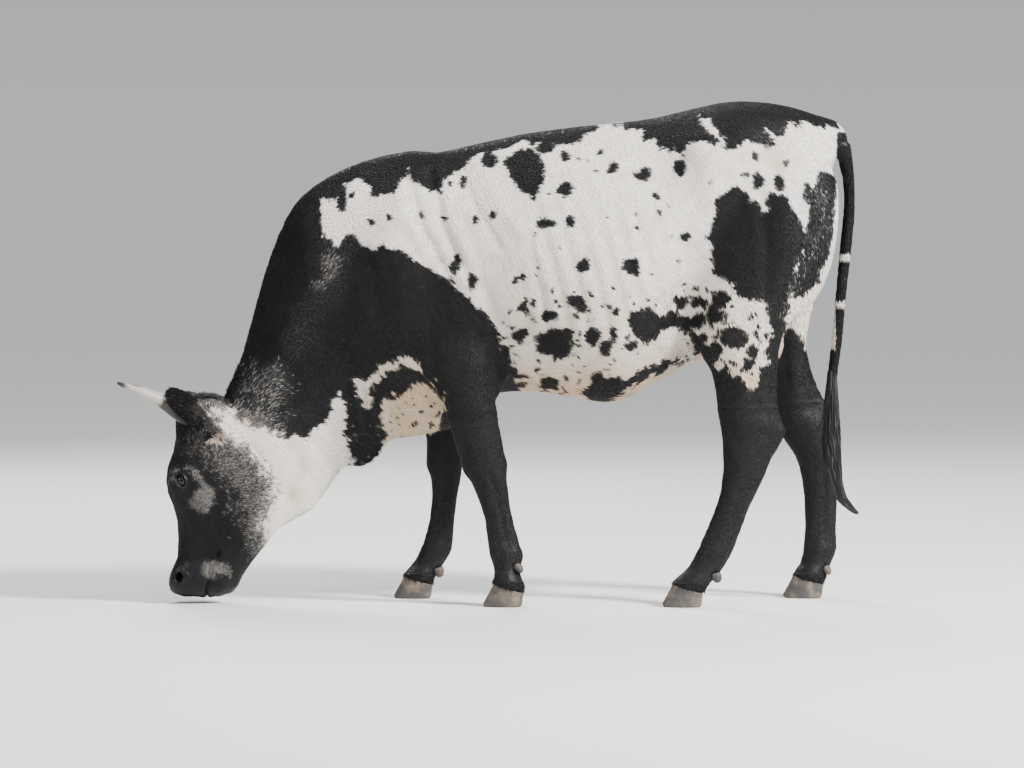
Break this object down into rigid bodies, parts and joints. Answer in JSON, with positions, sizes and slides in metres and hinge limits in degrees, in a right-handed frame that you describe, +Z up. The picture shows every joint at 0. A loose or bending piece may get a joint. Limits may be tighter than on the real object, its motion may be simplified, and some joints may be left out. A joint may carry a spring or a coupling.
{
  "type": "nguni cow",
  "caption": "Life-size standing model of a grazing horned cow, black and white spotted, head lowered to the ground.",
  "frame": {"origin": "on the floor, under the middle of the object's box", "axes": "+X towards the tail, so the muzzle points to -X; +Y towards the cow's right side; +Z up"},
  "size_m": [2.033, 0.5954, 1.3766],
  "materials": {
    "barrel": "short flat hair over hide",
    "cannon_fore_left": "short flat hair over hide",
    "cannon_fore_right": "short flat hair over hide",
    "cannon_hind_left": "short flat hair over hide",
    "cannon_hind_right": "short flat hair over hide",
    "chest": "short flat hair over hide",
    "claw_fore_left_inner": "dull ridged horn",
    "claw_fore_left_outer": "dull ridged horn",
    "claw_fore_right_inner": "dull ridged horn",
    "claw_fore_right_outer": "dull ridged horn",
    "claw_hind_left_inner": "dull ridged horn",
    "claw_hind_left_outer": "dull ridged horn",
    "claw_hind_right_inner": "dull ridged horn",
    "claw_hind_right_outer": "dull ridged horn",
    "dewclaw_fore_left_inner": "dull ridged horn",
    "dewclaw_fore_left_outer": "dull ridged horn",
    "dewclaw_fore_right_inner": "dull ridged horn",
    "dewclaw_fore_right_outer": "dull ridged horn",
    "dewclaw_hind_left_inner": "dull ridged horn",
    "dewclaw_hind_left_outer": "dull ridged horn",
    "dewclaw_hind_right_inner": "dull ridged horn",
    "dewclaw_hind_right_outer": "dull ridged horn",
    "ear_left": "short flat hair over hide",
    "ear_right": "short flat hair over hide",
    "eye_left": "clear and wet over a dark iris",
    "eye_right": "clear and wet over a dark iris",
    "forearm_fore_left": "short flat hair over hide",
    "forearm_fore_right": "short flat hair over hide",
    "gaskin_hind_left": "short flat hair over hide",
    "gaskin_hind_right": "short flat hair over hide",
    "head": "short flat hair over hide",
    "horn_left": "smooth horn, dark at the tip and root",
    "horn_right": "smooth horn, dark at the tip and root",
    "neck": "short flat hair over hide",
    "pastern_fore_left": "short flat hair over hide",
    "pastern_fore_right": "short flat hair over hide",
    "pastern_hind_left": "short flat hair over hide",
    "pastern_hind_right": "short flat hair over hide",
    "rump": "short flat hair over hide",
    "tail": "short flat hair over hide",
    "tail_switch": "short flat hair over hide",
    "udder": "bare soft skin"
  },
  "bodies": {
    "root": {"barrel": "barrel", "cannon_fore_left": "cannon_fore_left", "cannon_fore_right": "cannon_fore_right", "cannon_hind_left": "cannon_hind_left", "cannon_hind_right": "cannon_hind_right", "chest": "chest", "claw_fore_left_inner": "claw_fore_left_inner", "claw_fore_left_outer": "claw_fore_left_outer", "claw_fore_right_inner": "claw_fore_right_inner", "claw_fore_right_outer": "claw_fore_right_outer", "claw_hind_left_inner": "claw_hind_left_inner", "claw_hind_left_outer": "claw_hind_left_outer", "claw_hind_right_inner": "claw_hind_right_inner", "claw_hind_right_outer": "claw_hind_right_outer", "dewclaw_fore_left_inner": "dewclaw_fore_left_inner", "dewclaw_fore_left_outer": "dewclaw_fore_left_outer", "dewclaw_fore_right_inner": "dewclaw_fore_right_inner", "dewclaw_fore_right_outer": "dewclaw_fore_right_outer", "dewclaw_hind_left_inner": "dewclaw_hind_left_inner", "dewclaw_hind_left_outer": "dewclaw_hind_left_outer", "dewclaw_hind_right_inner": "dewclaw_hind_right_inner", "dewclaw_hind_right_outer": "dewclaw_hind_right_outer", "ear_left": "ear_left", "ear_right": "ear_right", "eye_left": "eye_left", "eye_right": "eye_right", "forearm_fore_left": "forearm_fore_left", "forearm_fore_right": "forearm_fore_right", "gaskin_hind_left": "gaskin_hind_left", "gaskin_hind_right": "gaskin_hind_right", "head": "head", "horn_left": "horn_left", "horn_right": "horn_right", "neck": "neck", "pastern_fore_left": "pastern_fore_left", "pastern_fore_right": "pastern_fore_right", "pastern_hind_left": "pastern_hind_left", "pastern_hind_right": "pastern_hind_right", "rump": "rump", "tail": "tail", "tail_switch": "tail_switch", "udder": "udder"}
  },
  "joints": []
}
